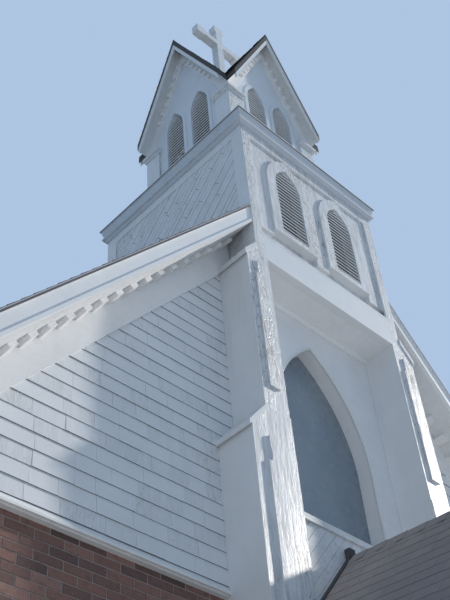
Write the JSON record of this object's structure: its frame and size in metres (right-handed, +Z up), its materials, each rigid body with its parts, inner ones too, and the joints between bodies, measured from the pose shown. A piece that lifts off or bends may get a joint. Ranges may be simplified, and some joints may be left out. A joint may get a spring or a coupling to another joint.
{
  "type": "small chapel",
  "caption": "Small brick and white shingle chapel with a steep roof, a front tower with a recessed arch window, a porch and a cross-gabled belfry with a cross.",
  "frame": {"origin": "middle of the footprint's bounding box, on the ground", "axes": "+Z up, the tower and the porch face -Y, +X is to the right seen from the front"},
  "size_m": [8.36, 12.8, 14.58],
  "materials": {
    "brick": "rough red and brown brick in running bond with pale mortar",
    "stone": "rough worn concrete",
    "roof_shingle": "matt dark brown grey shingles",
    "belfry_shingle": "matt dark shingles",
    "deck_sheet": "matt dark sheet",
    "glass": "smooth blue grey panes",
    "white_shingle": "matt white painted wood shingles",
    "louvre_paint": "matt white painted slats",
    "cornice_paint": "weathered white paint, grey in the hollows",
    "white_paint": "satin white painted boards"
  },
  "bodies": {
    "root": {"floor": "stone", "stoop": "stone", "brick_front": "brick", "brick_side_left": "brick", "brick_side_right": "brick", "brick_back": "brick", "gable_front": "white_shingle", "gable_back": "white_shingle", "water_table": "white_paint", "nave_roof": "roof_shingle", "fascia_boards": "white_paint", "rake_friezes": "white_paint", "side_frames": "white_paint", "side_glass": "glass", "piers": "white_paint", "pier_caps": "white_paint", "pier_strips": "white_paint", "recess_wall": "white_paint", "recess_soffit": "white_paint", "arch_glass": "glass", "window_sill": "white_paint", "apron_panel": "white_paint", "door_frame": "white_paint", "eave_boards": "white_paint", "porch_roof": "roof_shingle", "porch_rakes": "white_paint", "porch_frame": "white_paint", "tower_front": "white_paint", "tower_sides": "white_paint", "tower_back": "white_paint", "corner_boards": "white_paint", "belt_board": "white_paint", "lancet_frames": "white_paint", "lancet_louvres": "louvre_paint", "tower_cornice": "cornice_paint", "tower_deck": "deck_sheet", "belfry_walls": "white_paint", "belfry_posts": "white_paint", "belfry_caps": "white_paint", "belfry_casings": "white_paint", "belfry_louvres": "louvre_paint", "belfry_friezes": "white_paint", "belfry_roof": "belfry_shingle", "belfry_rakes": "white_paint", "cross": "white_paint"}
  },
  "joints": []
}
